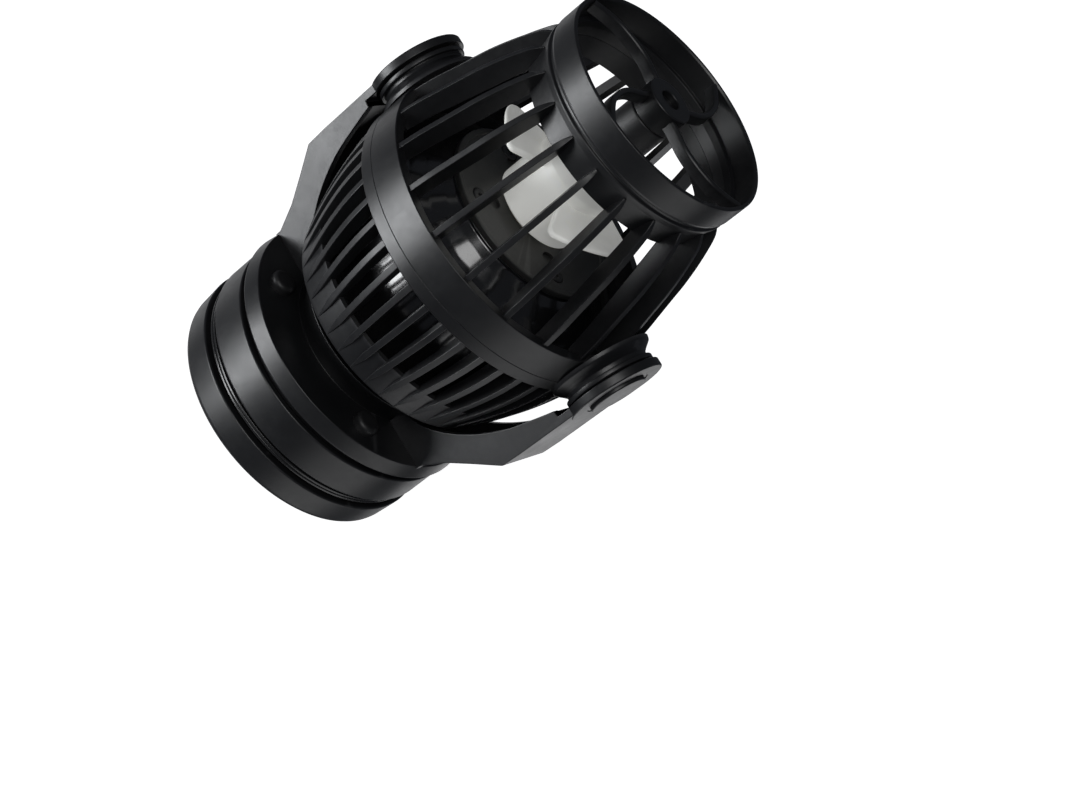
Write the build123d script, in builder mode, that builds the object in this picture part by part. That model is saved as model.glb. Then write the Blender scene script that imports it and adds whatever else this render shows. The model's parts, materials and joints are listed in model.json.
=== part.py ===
from build123d import *
import math
import os

# Wave maker pump for an aquarium: a magnet clamp, a swivelling U bracket and a
# tilting pump head.  Millimetres.  +Z runs along the pump axis, from the
# clamp to the outlet nozzle.  The origin is the centre of the flat outer face
# of the dry-side magnet holder.  X is the tilt axis of the pump head.

# ---------------------------------------------------------------- dimensions
# magnet clamp
dry_r_rear, dry_r_front, dry_h = 34.1, 34.85, 8.9
wet_r, wet_z0, wet_z1 = 34.7, 12.5, 22.4
shell_wall = 2.2
magnet_r, magnet_h = 31.2, 5.2
pad_r, pad_plug_r = 33.8, 31.6
pad_meet_z, pad_rim = 10.75, 0.85
pad_gap = 0.03

# swivel between the wet magnet holder and the bracket
swivel_gap_z0, swivel_gap_z1 = 22.4, 24.6
friction_r = 33.0
spigot_r = 14.0
keeper_r, keeper_t = 17.4, 1.2
run_clear = 0.06

# bracket
base_z0, base_z1 = 24.6, 29.4
base_r0, base_r1 = 35.45, 34.67
pivot_z = 81.7
dish_r = 52.2
arm_half_w = 9.4
arm_wall = 2.0
ear_r, ear_x0, ear_x1 = 12.2, 44.2, 46.4
base_screw_r, base_screw_pcd_r = 3.2, 28.2
pin_r = 4.5
pin_head_r = 7.3

# cages
band_r, band_wall = 40.0, 2.5
band_z0, seam_z, band_z1 = 73.3, 76.5, 85.0
front_ribs, front_rib_t, front_rib_az = 20, 1.5, -89.4
rear_ribs, rear_rib_t, rear_rib_az = 42, 1.6, -89.6
neck_z0, neck_z1 = 115.5, 124.3
neck_r0, neck_r1 = 27.6, 29.3
front_outer = [(39.5, 84.0), (38.5, 90.5), (37.3, 96.0), (36.2, 101.0), (35.1, 106.0), (33.7, 111.0), (32.0, 116.0), (30.6, 119.3), (28.9, 121.6)]
front_inner = [(27.2, 116.0), (28.7, 110.0), (30.4, 103.0), (32.2, 96.0), (33.8, 90.0), (35.2, 83.0)]
rear_outer = [(39.5, 74.0), (38.6, 66.0), (36.9, 58.0), (34.7, 50.5), (32.9, 45.5), (31.3, 41.5)]
rear_inner = [(30.2, 41.7), (31.3, 46.5), (32.5, 51.4), (33.4, 57.0), (34.6, 64.0), (35.4, 74.0)]
shell_z1 = 51.5

# nozzle
noz_r, noz_z1, noz_wall = 29.35, 132.2, 1.5
hub_r, hub_z0, hub_z1, hub_hole_r = 6.15, 126.9, 132.8, 2.6
vane_t = 1.3

# motor and rotor
can_r, can_wall = 23.2, 1.8
can_z0, can_z1 = 43.0, 86.0
cap_z1, cap_r = 87.8, 23.6
flange_z0, flange_z1, flange_r = 74.3, 76.3, 35.5
bore_r = 12.4
shaft_r = 2.0
rotor_r = 11.6
prop_hub_r, prop_z0, prop_tip_r = 11.3, 89.0, 22.5
blade_span, blade_pitch, blade_z, blade_t = 66.0, 9.0, 101.9, 1.8

os.makedirs("parts", exist_ok=True)


def save(builder, label):
    builder.part.label = label
    export_step(builder.part, "parts/" + label + ".step")


# ------------------------------------------------------- dry magnet holder
# shallow round tub, open towards the glass, with a rounded outer edge
with BuildPart() as outer_magnet_shell:
    with BuildSketch(Plane.XZ):
        with BuildLine():
            Polyline(
                (0, 0), (dry_r_rear - 2.4, 0), (dry_r_rear - 0.7, 0.7), (dry_r_rear, 2.4),
                (dry_r_front, dry_h - 0.5), (dry_r_front - 0.4, dry_h), (dry_r_front - shell_wall, dry_h),
                (dry_r_front - shell_wall, shell_wall), (0, shell_wall), (0, 0),
            )
        make_face()
    revolve(axis=Axis.Z)
    # shallow finger recess ring on the outer face
    with BuildSketch(Plane.XY):
        Circle(26.0)
        Circle(24.8, mode=Mode.SUBTRACT)
    extrude(amount=0.5, mode=Mode.SUBTRACT)
save(outer_magnet_shell, "outer_magnet_shell")

with BuildPart() as outer_magnet:
    with BuildSketch(Plane.XY.offset(shell_wall)):
        Circle(magnet_r)
    extrude(amount=magnet_h)
    chamfer(outer_magnet.edges().filter_by(GeomType.CIRCLE), 0.6)
save(outer_magnet, "outer_magnet")

# rubber pad: a plug pushed into the tub and a thin rim that meets the glass
with BuildPart() as outer_pad:
    with BuildSketch(Plane.XZ):
        with BuildLine():
            z_top = pad_meet_z - pad_gap / 2
            Polyline(
                (0, shell_wall + magnet_h + 0.02), (pad_plug_r, shell_wall + magnet_h + 0.02),
                (pad_plug_r, z_top - pad_rim), (pad_r - 0.25, z_top - pad_rim), (pad_r, z_top - pad_rim + 0.25),
                (pad_r, z_top - 0.25), (pad_r - 0.25, z_top), (0, z_top), (0, shell_wall + magnet_h + 0.02),
            )
        make_face()
    revolve(axis=Axis.Z)
save(outer_pad, "outer_pad")

# ------------------------------------------------------- wet magnet holder
with BuildPart() as inner_magnet_shell:
    with BuildSketch(Plane.XZ):
        with BuildLine():
            Polyline(
                (0, wet_z1 - shell_wall), (wet_r - shell_wall, wet_z1 - shell_wall), (wet_r - shell_wall, wet_z0),
                (wet_r - 0.7, wet_z0), (wet_r, wet_z0 + 0.7), (wet_r, wet_z1 - 0.4), (wet_r - 0.4, wet_z1),
                (spigot_r, wet_z1), (spigot_r, 25.5), (0, 25.5), (0, wet_z1 - shell_wall),
            )
        make_face()
    revolve(axis=Axis.Z)
    # pilot hole for the swivel screw
    with BuildSketch(Plane.XY.offset(25.5)):
        Circle(1.5)
    extrude(amount=-4.2, mode=Mode.SUBTRACT)
save(inner_magnet_shell, "inner_magnet_shell")

with BuildPart() as inner_magnet:
    with BuildSketch(Plane.XY.offset(wet_z1 - shell_wall)):
        Circle(magnet_r)
    extrude(amount=-magnet_h)
    chamfer(inner_magnet.edges().filter_by(GeomType.CIRCLE), 0.6)
save(inner_magnet, "inner_magnet")

with BuildPart() as inner_pad:
    with BuildSketch(Plane.XZ):
        with BuildLine():
            z_bot = pad_meet_z + pad_gap / 2
            z_in = wet_z1 - shell_wall - magnet_h - 0.02
            Polyline(
                (0, z_bot), (pad_r - 0.25, z_bot), (pad_r, z_bot + 0.25), (pad_r, z_bot + pad_rim - 0.25),
                (pad_r - 0.25, z_bot + pad_rim), (pad_plug_r, z_bot + pad_rim), (pad_plug_r, z_in), (0, z_in), (0, z_bot),
            )
        make_face()
    revolve(axis=Axis.Z)
save(inner_pad, "inner_pad")

# friction washer that fills the swivel gap
with BuildPart() as swivel_washer:
    with BuildSketch(Plane.XY.offset(swivel_gap_z0)):
        Circle(friction_r)
        Circle(spigot_r + 0.1, mode=Mode.SUBTRACT)
    extrude(amount=swivel_gap_z1 - swivel_gap_z0 - 0.04)
save(swivel_washer, "swivel_washer")

# keeper disc and its screw, which hold the bracket on the spigot
with BuildPart() as swivel_keeper:
    with BuildSketch(Plane.XY.offset(25.5)):
        Circle(keeper_r)
        Circle(1.7, mode=Mode.SUBTRACT)
    extrude(amount=keeper_t)
save(swivel_keeper, "swivel_keeper")

with BuildPart() as swivel_screw:
    with BuildSketch(Plane.XY.offset(25.5 + keeper_t)):
        Circle(3.4)
    extrude(amount=1.3)
    with BuildSketch(Plane.XY.offset(25.5 + keeper_t)):
        Circle(1.5)
    extrude(amount=-5.2)
    with BuildSketch(Plane.XY.offset(28.0)):
        Rectangle(3.4, 0.8)
        Rectangle(0.8, 3.4)
    extrude(amount=-0.7, mode=Mode.SUBTRACT)
save(swivel_screw, "swivel_screw")

# ------------------------------------------------------------------ bracket
# plate under the bracket base; it traps the keeper disc
with BuildPart() as swivel_plate:
    with BuildSketch(Plane.XY.offset(24.8)):
        Circle(32.4)
        Circle(spigot_r + run_clear, mode=Mode.SUBTRACT)
        with PolarLocations(base_screw_pcd_r, 4, start_angle=45):
            Circle(1.25, mode=Mode.SUBTRACT)
    extrude(amount=2.2)
    with BuildSketch(Plane.XY.offset(25.44)):
        Circle(keeper_r + 0.15)
    extrude(amount=2.0, mode=Mode.SUBTRACT)
save(swivel_plate, "swivel_plate")

arm_outer = [(30.5, 28.0), (33.9, 28.4), (33.9, 30.2), (37.1, 37.0), (41.1, 43.2), (45.8, 50.2), (46.05, 56.0), (46.15, 70.0), (ear_x1 - 0.05, 81.0)]
arm_inner = [(ear_x0, 81.0), (ear_x0, 70.2), (42.6, 70.0), (41.6, 65.5), (39.6, 57.4), (37.4, 51.6), (34.7, 46.4), (31.4, 41.6), (27.6, 37.6), (24.6, 35.6), (20.5, 33.8), (20.5, 28.0)]
chan = [(31.5, 30.6), (34.9, 37.6), (38.9, 44.0), (43.6, 51.0), (43.9, 56.5), (ear_x0 - 0.15, 66.0), (ear_x0, 72.0), (ear_x0, 92.0), (30.0, 92.0), (18.0, 40.0), (22.0, 34.5), (27.0, 30.6)]
# sloping facet low on each arm side: three points of its plane
facet = [(33.2, -9.4, 29.4), (25.5, -9.4, 36.5), (22.0, -7.8, 29.4)]

ax, ay, az = (facet[1][i] - facet[0][i] for i in range(3))
bx, by, bz = (facet[2][i] - facet[0][i] for i in range(3))
facet_n = (ay * bz - az * by, az * bx - ax * bz, ax * by - ay * bx)

with BuildPart() as bracket:
    # two arms, each a channel open towards the pump head
    for s in (1, -1):
        with BuildSketch(Plane.XZ):
            with BuildLine():
                Polyline(*[(s * x, z) for x, z in arm_outer + arm_inner], close=True)
            make_face()
        extrude(amount=arm_half_w, both=True)
        with BuildSketch(Plane.XZ):
            with BuildLine():
                Polyline(*[(s * x, z) for x, z in chan], close=True)
            make_face()
        extrude(amount=arm_half_w - arm_wall, both=True, mode=Mode.SUBTRACT)
        # facets that narrow the foot of the arm
        for q in (1, -1):
            with BuildSketch(Plane(origin=(s * facet[0][0], q * facet[0][1], facet[0][2]), z_dir=(s * facet_n[0], q * facet_n[1], facet_n[2]))):
                Rectangle(40, 40)
            extrude(amount=6, mode=Mode.SUBTRACT)
        # round ear on the tilt axis
        with BuildSketch(Plane(origin=(s * ear_x0, 0, pivot_z), x_dir=(0, 1, 0), z_dir=(s, 0, 0))):
            Circle(ear_r)
        extrude(amount=ear_x1 - ear_x0)
    # ring base with a recess underneath and a low cup wall on top
    with BuildSketch(Plane.XZ):
        with BuildLine():
            Polyline(
                (0, 28.05), (4.2, 28.05), (4.2, 27.05), (32.5, 27.05), (32.5, base_z0), (base_r0 - 0.3, base_z0), (base_r0, base_z0 + 0.3),
                (base_r1 + 0.1, base_z1 - 0.4), (base_r1 - 0.3, base_z1), (22.3, base_z1), (22.55, 31.4), (23.3, 33.7), (24.5, 35.75), (24.3, 36.0), (23.9, 35.95),
                (23.7, pivot_z - math.sqrt(dish_r ** 2 - 23.7 ** 2)), (20.0, pivot_z - math.sqrt(dish_r ** 2 - 20.0 ** 2)), (15.0, pivot_z - math.sqrt(dish_r ** 2 - 225)),
                (10.0, pivot_z - math.sqrt(dish_r ** 2 - 100)), (5.0, pivot_z - math.sqrt(dish_r ** 2 - 25)), (0, pivot_z - dish_r), (0, 28.05),
            )
        make_face()
    revolve(axis=Axis.Z)
    # dish that lets the tail of the head swing
    with BuildSketch(Plane.XZ):
        with BuildLine():
            Polyline(
                (0, pivot_z - dish_r), (5.0, pivot_z - math.sqrt(dish_r ** 2 - 25)), (10.0, pivot_z - math.sqrt(dish_r ** 2 - 100)),
                (15.0, pivot_z - math.sqrt(dish_r ** 2 - 225)), (20.0, pivot_z - math.sqrt(dish_r ** 2 - 400)), (23.7, pivot_z - math.sqrt(dish_r ** 2 - 23.7 ** 2)), (23.7, 45), (0, 45), (0, pivot_z - dish_r),
            )
        make_face()
    revolve(axis=Axis.Z, mode=Mode.SUBTRACT)
    # holes for the base screws and the pivot pins
    with BuildSketch(Plane.XY.offset(base_z1 + 0.01)):
        with PolarLocations(base_screw_pcd_r, 4, start_angle=45):
            Circle(1.6)
    extrude(amount=-4.0, mode=Mode.SUBTRACT)
    with BuildSketch(Plane(origin=(-50, 0, pivot_z), x_dir=(0, 1, 0), z_dir=(1, 0, 0))):
        Circle(pin_r)
    extrude(amount=100, mode=Mode.SUBTRACT)
save(bracket, "bracket")

# four base screws with plain round heads, each with a shallow dish
with BuildPart() as base_screws:
    with BuildSketch(Plane.XY.offset(base_z1)):
        with PolarLocations(base_screw_pcd_r, 4, start_angle=45):
            Circle(base_screw_r)
    extrude(amount=2.4)
    fillet(base_screws.edges().group_by(Axis.Z)[-1], 0.5)
    with BuildSketch(Plane.XY.offset(base_z1)):
        with PolarLocations(base_screw_pcd_r, 4, start_angle=45):
            Circle(1.25)
    extrude(amount=-4.4)
    with BuildSketch(Plane.XY.offset(base_z1 + 2.4)):
        with PolarLocations(base_screw_pcd_r, 4, start_angle=45):
            Circle(1.9)
    extrude(amount=-0.25, mode=Mode.SUBTRACT)
save(base_screws, "base_screws")

# pivot pins: domed heads outside the ears, shanks into the head's pivot bosses
with BuildPart() as pivot_pins:
    for s in (1, -1):
        with BuildSketch(Plane(origin=(s * ear_x1, 0, pivot_z), x_dir=(0, 1, 0), z_dir=(s, 0, 0))):
            Circle(pin_head_r)
        extrude(amount=0.8, taper=15)
        with BuildSketch(Plane(origin=(s * ear_x1, 0, pivot_z), x_dir=(0, 1, 0), z_dir=(s, 0, 0))):
            Circle(pin_r)
        extrude(amount=-6.1)
save(pivot_pins, "pivot_pins")

# thin friction washers between the ears and the pivot bosses
with BuildPart() as pivot_washers:
    for s in (1, -1):
        with BuildSketch(Plane(origin=(s * ear_x0, 0, pivot_z), x_dir=(0, 1, 0), z_dir=(s, 0, 0))):
            Circle(9.4)
            Circle(pin_r + 0.05, mode=Mode.SUBTRACT)
        extrude(amount=-0.45)
save(pivot_washers, "pivot_washers")

# --------------------------------------------------------------- front cage
with BuildPart() as front_rib:
    with BuildSketch(Plane.XZ):
        with BuildLine():
            Spline(*front_outer)
            Line(front_outer[-1], front_inner[0])
            Spline(*front_inner)
            Line(front_inner[-1], front_outer[0])
        make_face()
    extrude(amount=front_rib_t / 2, both=True)

with BuildPart() as front_cage:
    # band, with the bayonet groove inside
    with BuildSketch(Plane.XZ):
        with BuildLine():
            Polyline(
                (band_r - band_wall, seam_z), (band_r - 0.15, seam_z), (band_r, seam_z + 0.15), (band_r, band_z1 - 0.3),
                (band_r - 0.3, band_z1), (band_r - band_wall, band_z1), (band_r - band_wall, seam_z),
            )
        make_face()
    revolve(axis=Axis.Z)
    # flared neck, with the shoulder that carries the nozzle
    with BuildSketch(Plane.XZ):
        with BuildLine():
            Polyline(
                (neck_r0 - 1.9, neck_z0), (neck_r0, neck_z0), (neck_r0 + 0.4, 118.5), (neck_r1 - 0.6, 121.8), (neck_r1 - 0.15, 123.3), (neck_r1 - 0.15, 123.6),
                (neck_r1 - 0.6, neck_z1 - 0.4), (neck_r1 - 0.6, neck_z1), (27.6, neck_z1), (27.6, 121.3), (26.1, 121.3), (neck_r0 - 1.9, neck_z0),
            )
        make_face()
    revolve(axis=Axis.Z)
    with PolarLocations(0, front_ribs, start_angle=front_rib_az):
        add(front_rib.part)
    # pivot bosses
    for s in (1, -1):
        with BuildSketch(Plane.XZ):
            with BuildLine():
                Polyline(
                    (s * 34.0, pivot_z + 13.0), (s * 39.4, pivot_z + 12.8), (s * 40.6, pivot_z + 11.4), (s * 41.4, pivot_z + 10.6),
                    (s * 42.5, pivot_z + 10.4), (s * 42.5, pivot_z + 11.4), (s * 43.7, pivot_z + 11.4), (s * 43.7, pivot_z), (s * 34.0, pivot_z), close=True,
                )
            make_face()
        revolve(axis=Axis(origin=(0, 0, pivot_z), direction=(1, 0, 0)))
        with BuildSketch(Plane(origin=(s * 40.2, 0, pivot_z), x_dir=(0, 1, 0), z_dir=(s, 0, 0))):
            Circle(pin_r + run_clear)
        extrude(amount=6, mode=Mode.SUBTRACT)
    # inside stays round, and the rear cage's band fits inside the skirt
    with BuildSketch(Plane.XY.offset(seam_z - 0.01)):
        Circle(band_r - band_wall)
    extrude(amount=6.6, mode=Mode.SUBTRACT)
    with BuildSketch(Plane.XY.offset(82.9)):
        Circle(35.0)
    extrude(amount=2.1, mode=Mode.SUBTRACT)
    with BuildSketch(Plane.XY.offset(60)):
        Circle(band_r + 0.12)
    extrude(amount=seam_z - 60, mode=Mode.SUBTRACT)
    # three bayonet slots and the gaps that let the lugs in
    with BuildSketch(Plane.XY.offset(77.6)):
        for a in (30, 150, 270):
            with BuildLine():
                a0, a1 = math.radians(a - 5.2), math.radians(a + 20.2)
                am = (a0 + a1) / 2
                for_r = 38.75
                ThreePointArc((for_r * math.cos(a0), for_r * math.sin(a0)), (for_r * math.cos(am), for_r * math.sin(am)), (for_r * math.cos(a1), for_r * math.sin(a1)))
                Polyline((for_r * math.cos(a1), for_r * math.sin(a1)), (36 * math.cos(a1), 36 * math.sin(a1)), (36 * math.cos(a0), 36 * math.sin(a0)), (for_r * math.cos(a0), for_r * math.sin(a0)))
            make_face()
    extrude(amount=2.2, mode=Mode.SUBTRACT)
    with BuildSketch(Plane.XY.offset(76.4)):
        for a in (45, 165, 285):
            with BuildLine():
                a0, a1 = math.radians(a - 5.2), math.radians(a + 5.2)
                ThreePointArc((38.75 * math.cos(a0), 38.75 * math.sin(a0)), (38.75 * math.cos(math.radians(a)), 38.75 * math.sin(math.radians(a))), (38.75 * math.cos(a1), 38.75 * math.sin(a1)))
                Polyline((38.75 * math.cos(a1), 38.75 * math.sin(a1)), (36 * math.cos(a1), 36 * math.sin(a1)), (36 * math.cos(a0), 36 * math.sin(a0)), (38.75 * math.cos(a0), 38.75 * math.sin(a0)))
            make_face()
    extrude(amount=1.3, mode=Mode.SUBTRACT)
save(front_cage, "front_cage")

# --------------------------------------------------------------- nozzle
# ring, four swept vanes and the front bearing hub in one moulding
with BuildPart() as outlet_nozzle:
    with BuildSketch(Plane.XZ):
        with BuildLine():
            Polyline(
                (26.2, 121.35), (27.55, 121.35), (27.55, neck_z1 + 0.02), (noz_r - 0.6, neck_z1 + 0.02), (noz_r - 0.6, neck_z1 + 0.25), (noz_r, neck_z1 + 0.7), (noz_r, noz_z1 - 0.5), (noz_r - 0.4, noz_z1),
                (noz_r - 0.9, noz_z1), (noz_r - noz_wall, noz_z1 - 0.7), (27.6, 126.0), (26.2, 124.2), (26.2, 121.35),
            )
        make_face()
    revolve(axis=Axis.Z)
    with BuildSketch(Plane.XY.offset(hub_z0)):
        Circle(hub_r)
    extrude(amount=hub_z1 - hub_z0)
    fillet(outlet_nozzle.edges().filter_by(GeomType.CIRCLE).group_by(Axis.Z)[-1], 0.35)
    for k in range(4):
        with BuildSketch(Plane.XY.offset(125.2)):
            with BuildLine():
                c = []
                for r, a in ((5.4, 128.0), (9.0, 149.0), (13.0, 158.0), (18.0, 164.0), (23.0, 173.0), (28.3, 185.5)):
                    t = math.radians(a + 90 * k)
                    c.append((r * math.cos(t), r * math.sin(t)))
                Spline(*c)
            trace(line_width=vane_t)
        extrude(amount=6.1)
    with BuildSketch(Plane.XY.offset(124.0)):
        Circle(6.6)
    extrude(amount=hub_z0 - 124.0, mode=Mode.SUBTRACT)
    # bearing pocket at the back of the hub, and the small hole in its face
    with BuildSketch(Plane.XY.offset(hub_z0)):
        Circle(4.0)
    extrude(amount=4.2, mode=Mode.SUBTRACT)
    with BuildSketch(Plane.XY.offset(hub_z0)):
        Circle(hub_hole_r)
    extrude(amount=8, mode=Mode.SUBTRACT)
save(outlet_nozzle, "outlet_nozzle")

with BuildPart() as front_bearing:
    with BuildSketch(Plane.XY.offset(hub_z0 + 0.1)):
        Circle(4.0)
        Circle(shaft_r + 0.05, mode=Mode.SUBTRACT)
    extrude(amount=4.0)
save(front_bearing, "front_bearing")

# --------------------------------------------------------------- rear cage
with BuildPart() as rear_rib:
    with BuildSketch(Plane.XZ):
        with BuildLine():
            Spline(*rear_outer)
            Line(rear_outer[-1], rear_inner[0])
            Spline(*rear_inner)
            Line(rear_inner[-1], rear_outer[0])
        make_face()
    extrude(amount=rear_rib_t / 2, both=True)

with BuildPart() as rear_cage:
    # band and the spigot that enters the front cage
    with BuildSketch(Plane.XZ):
        with BuildLine():
            Polyline(
                (35.6, 72.6), (band_r - 1.2, 72.6), (band_r, band_z0), (band_r, seam_z - 0.2), (band_r - 0.15, seam_z - 0.05), (band_r - band_wall - 0.08, seam_z - 0.05),
                (band_r - band_wall - 0.08, 80.4), (35.8, 80.4), (35.8, 74.2), (34.2, 74.2), (34.2, 72.6), (35.6, 72.6),
            )
        make_face()
    revolve(axis=Axis.Z)
    # tail cone, closed at the back
    with BuildSketch(Plane.XZ):
        with BuildLine():
            Polyline(
                (0, 34.6), (14.0, 35.0), (20.0, 36.1), (25.6, 38.0), (31.2, 41.4), (32.4, 45.5), (33.9, shell_z1), (32.4, shell_z1), (31.0, 46.2), (29.7, 42.7), (25.0, 40.2), (19.5, 38.3), (0, 37.0), (0, 34.6),
            )
        make_face()
    revolve(axis=Axis.Z)
    with PolarLocations(0, rear_ribs, start_angle=rear_rib_az):
        add(rear_rib.part)
    # three bayonet lugs
    with BuildSketch(Plane.XY.offset(78.0)):
        for a in (30, 150, 270):
            with BuildLine():
                a0, a1 = math.radians(a - 4.6), math.radians(a + 4.6)
                r0, r1 = 37.2, 38.55
                ThreePointArc((r1 * math.cos(a0), r1 * math.sin(a0)), (r1 * math.cos(math.radians(a)), r1 * math.sin(math.radians(a))), (r1 * math.cos(a1), r1 * math.sin(a1)))
                Polyline((r1 * math.cos(a1), r1 * math.sin(a1)), (r0 * math.cos(a1), r0 * math.sin(a1)), (r0 * math.cos(a0), r0 * math.sin(a0)), (r1 * math.cos(a0), r1 * math.sin(a0)))
            make_face()
    extrude(amount=1.4)
    # cable boss on the far side
    with BuildSketch(Plane(origin=(0, 33.5, 66.0), x_dir=(1, 0, 0), z_dir=(0, 1, 0))):
        Circle(5.4)
    extrude(amount=6.8)
    with BuildSketch(Plane(origin=(0, 30, 66.0), x_dir=(1, 0, 0), z_dir=(0, 1, 0))):
        Circle(3.6)
    extrude(amount=14, mode=Mode.SUBTRACT)
    # three posts that locate the motor
    with BuildSketch(Plane.XY.offset(36.6)):
        with PolarLocations(17.0, 3, start_angle=90):
            Circle(2.4)
    extrude(amount=43.0 - 36.6)
save(rear_cage, "rear_cage")

# ------------------------------------------------------------------- motor
with BuildPart() as motor_housing:
    with BuildSketch(Plane.XZ):
        with BuildLine():
            Polyline(
                (0, 47.0), (bore_r + 1.2, 47.0), (bore_r + 1.2, 82.0), (can_r - can_wall, 82.0), (can_r - can_wall, can_z0 + 2.6), (can_r, can_z0 + 2.6),
                (can_r, 80.6), (25.4, 80.6), (31.2, 75.6), (31.2, flange_z0), (flange_r, flange_z0), (flange_r, flange_z1), (33.2, flange_z1), (30.2, flange_z1 + 1.8), (27.4, flange_z1 + 4.3),
                (25.0, flange_z1 + 7.2), (can_r, can_z1 - 0.7), (can_r - 0.6, can_z1), (bore_r, can_z1), (bore_r, 51.5), (4.0, 51.5), (4.0, 48.4), (0, 48.4), (0, 47.0),
            )
        make_face()
    revolve(axis=Axis.Z)
    # pilot holes of the cap screws
    with BuildSketch(Plane.XY.offset(can_z1)):
        with PolarLocations(17.6, 4, start_angle=70):
            Circle(1.1)
    extrude(amount=-3.0, mode=Mode.SUBTRACT)
    # cable entry
    with BuildSketch(Plane(origin=(0, 18, 66.0), x_dir=(1, 0, 0), z_dir=(0, 1, 0))):
        Circle(2.6)
    extrude(amount=8, mode=Mode.SUBTRACT)
save(motor_housing, "motor_housing")

with BuildPart() as motor_rear_cap:
    with BuildSketch(Plane.XY.offset(can_z0)):
        Circle(can_r)
    extrude(amount=2.55)
    chamfer(motor_rear_cap.edges().group_by(Axis.Z)[0], 0.8)
    with BuildSketch(Plane.XY.offset(can_z0 + 2.55)):
        Circle(can_r - can_wall - 0.05)
        Circle(bore_r + 3.0, mode=Mode.SUBTRACT)
    extrude(amount=2.0)
save(motor_rear_cap, "motor_rear_cap")

with BuildPart() as motor_front_cap:
    with BuildSketch(Plane.XZ):
        with BuildLine():
            Polyline(
                (8.2, can_z1 + 0.02), (cap_r - 0.4, can_z1 + 0.02), (cap_r, can_z1 + 0.4), (cap_r, cap_z1 - 0.35), (cap_r - 0.35, cap_z1), (cap_r - 1.3, cap_z1), (cap_r - 1.6, cap_z1 - 0.35),
                (8.2, cap_z1 - 0.35), (8.2, can_z1 + 0.02),
            )
        make_face()
    revolve(axis=Axis.Z)
    with BuildSketch(Plane.XY.offset(cap_z1)):
        with PolarLocations(17.6, 4, start_angle=70):
            Circle(2.5)
    extrude(amount=-0.95, mode=Mode.SUBTRACT)
    with BuildSketch(Plane.XY.offset(cap_z1)):
        with PolarLocations(17.6, 4, start_angle=70):
            Circle(1.25)
    extrude(amount=-3, mode=Mode.SUBTRACT)
    # four round relief holes next to the hub
    with BuildSketch(Plane.XY.offset(cap_z1)):
        with PolarLocations(13.6, 4, start_angle=70 + 90):
            Circle(2.3)
    extrude(amount=-1.2, mode=Mode.SUBTRACT)
save(motor_front_cap, "motor_front_cap")

with BuildPart() as cap_screws:
    with BuildSketch(Plane.XY.offset(cap_z1 - 0.95)):
        with PolarLocations(17.6, 4, start_angle=70):
            Circle(2.2)
    extrude(amount=0.8)
    with BuildSketch(Plane.XY.offset(cap_z1 - 0.95)):
        with PolarLocations(17.6, 4, start_angle=70):
            Circle(1.1)
    extrude(amount=-3.5)
    with BuildSketch(Plane.XY.offset(cap_z1 - 0.15)):
        with PolarLocations(17.6, 4, start_angle=70):
            RegularPolygon(1.0, 6)
    extrude(amount=-0.5, mode=Mode.SUBTRACT)
save(cap_screws, "cap_screws")

# laminated stator ring with six teeth
with BuildPart() as stator_core:
    with BuildSketch(Plane.XY.offset(56.0)):
        Circle(can_r - can_wall - 0.05)
        Circle(19.0, mode=Mode.SUBTRACT)
        with PolarLocations(16.7, 6):
            Rectangle(5.6, 3.4)
        with PolarLocations(14.45, 6):
            Rectangle(1.3, 9.6)
        Circle(bore_r + 1.25, mode=Mode.SUBTRACT)
    extrude(amount=18.0)
save(stator_core, "stator_core")

# one coil on each tooth
with BuildPart() as stator_coils:
    with BuildSketch(Plane.XY.offset(54.0)):
        with PolarLocations(16.9, 6):
            Rectangle(3.2, 7.2)
    extrude(amount=22.0)
    with BuildSketch(Plane.XY.offset(55.9)):
        with PolarLocations(16.9, 6):
            Rectangle(5.0, 3.5)
    extrude(amount=18.2, mode=Mode.SUBTRACT)
save(stator_coils, "stator_coils")

# round drive board behind the stator, with its main chips
with BuildPart() as drive_board:
    with BuildSketch(Plane.XY.offset(50.4)):
        Circle(20.8)
        Circle(14.2, mode=Mode.SUBTRACT)
    extrude(amount=1.4)
    with BuildSketch(Plane.XY.offset(51.8)):
        with PolarLocations(17.4, 3, start_angle=20):
            Rectangle(3.0, 4.0)
    extrude(amount=1.0)
save(drive_board, "drive_board")

with BuildPart() as rear_bearing:
    with BuildSketch(Plane.XY.offset(48.4)):
        Circle(4.0)
        Circle(shaft_r + 0.05, mode=Mode.SUBTRACT)
    extrude(amount=3.0)
save(rear_bearing, "rear_bearing")

# O-ring between the motor flange and the rear cage
with BuildPart() as flange_seal:
    with BuildSketch(Plane.XY.offset(flange_z1)):
        Circle(flange_r)
        Circle(flange_r - 1.6, mode=Mode.SUBTRACT)
    extrude(amount=1.2)
save(flange_seal, "flange_seal")

with BuildPart() as cable_gland:
    with BuildSketch(Plane(origin=(0, 31.0, 66.0), x_dir=(1, 0, 0), z_dir=(0, 1, 0))):
        Circle(3.6)
        Circle(2.5, mode=Mode.SUBTRACT)
    extrude(amount=9.4)
    with BuildSketch(Plane(origin=(0, 40.4, 66.0), x_dir=(1, 0, 0), z_dir=(0, 1, 0))):
        Circle(4.8)
        Circle(2.5, mode=Mode.SUBTRACT)
    extrude(amount=1.4)
    with BuildSketch(Plane(origin=(0, 41.8, 66.0), x_dir=(1, 0, 0), z_dir=(0, 1, 0))):
        Circle(4.0)
        Circle(2.5, mode=Mode.SUBTRACT)
    extrude(amount=2.6, taper=12)
save(cable_gland, "cable_gland")

with BuildPart() as power_cable:
    with BuildSketch(Plane(origin=(0, 21.6, 66.0), x_dir=(1, 0, 0), z_dir=(0, 1, 0))):
        Circle(2.5)
    extrude(amount=24.4)
save(power_cable, "power_cable")

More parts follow.
